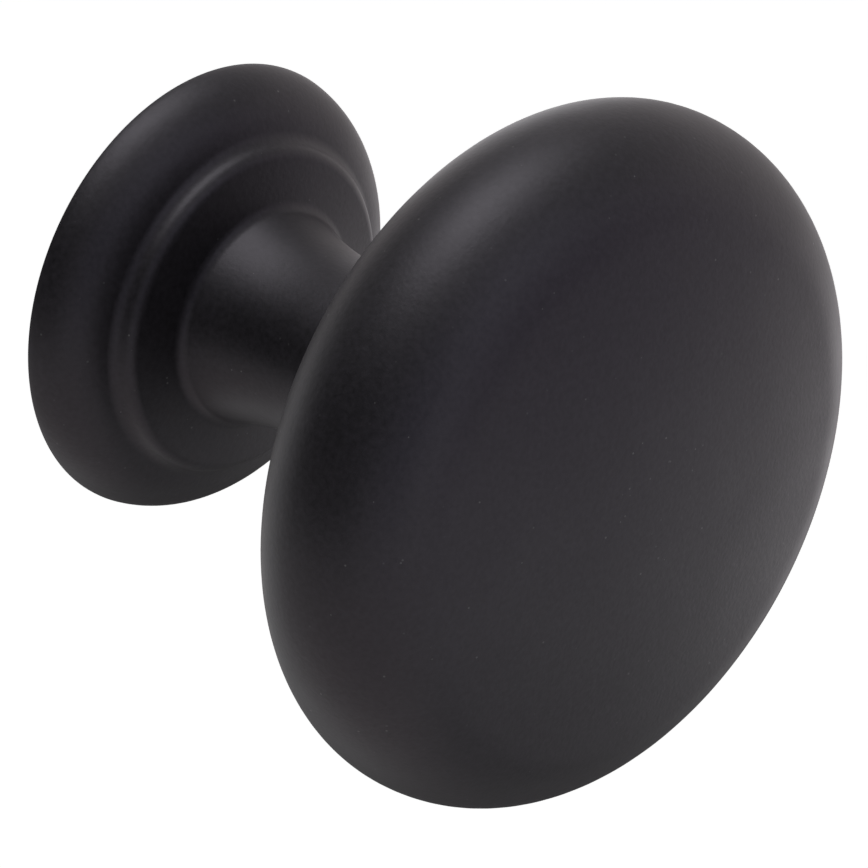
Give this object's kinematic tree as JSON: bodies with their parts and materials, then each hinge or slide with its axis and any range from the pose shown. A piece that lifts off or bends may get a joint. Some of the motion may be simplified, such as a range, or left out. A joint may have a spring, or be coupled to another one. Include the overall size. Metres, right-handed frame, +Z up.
{
  "type": "cabinet knob",
  "caption": "Round mushroom cabinet knob with a wide shallow-domed head, a waisted neck and a stepped round flange, satin black, fixed by one screw from behind.",
  "frame": {"origin": "centre of the flange's back face, where the knob's axis meets the face of the door", "axes": "as mounted on an upright door: -Y out of the door towards the user, along the knob's axis; +Z up; +X to the right seen from the front; the door's face is the plane Y = 0"},
  "size_m": [0.038, 0.034, 0.038],
  "materials": {
    "black_coat": "satin"
  },
  "bodies": {
    "root": {"knob": "black_coat"}
  },
  "joints": []
}
